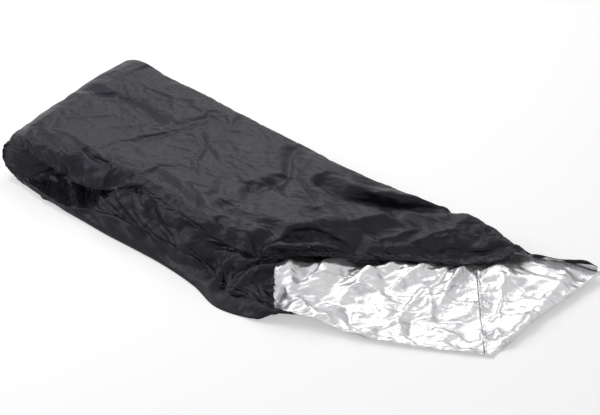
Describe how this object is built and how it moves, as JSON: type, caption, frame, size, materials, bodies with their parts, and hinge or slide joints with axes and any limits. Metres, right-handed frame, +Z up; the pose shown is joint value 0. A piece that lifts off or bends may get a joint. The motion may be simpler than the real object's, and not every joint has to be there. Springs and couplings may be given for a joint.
{
  "type": "lawn mower cover",
  "caption": "Empty lawn mower cover lying flattened on a surface: a long bag of black coated cloth with sunk side panels and a slanted open mouth that shows its silver inside.",
  "frame": {"origin": "on the floor, under the middle of the cover's box", "axes": "+X from the closed end to the mouth, +Z up, -Y towards the side panel that is sunk at the closed end"},
  "size_m": [1.8581, 0.879, 0.1787],
  "materials": {
    "black_cloth": "satin coated polyester, fine weave, crinkled",
    "silver_inside": "silver coating on the inside of the cloth, crinkled, half gloss"
  },
  "bodies": {
    "root": {"top_strip": "black_cloth", "near_side_panel": "black_cloth", "far_side_panel": "black_cloth", "under_strip": "silver_inside", "mouth_panel": "silver_inside"}
  },
  "joints": []
}
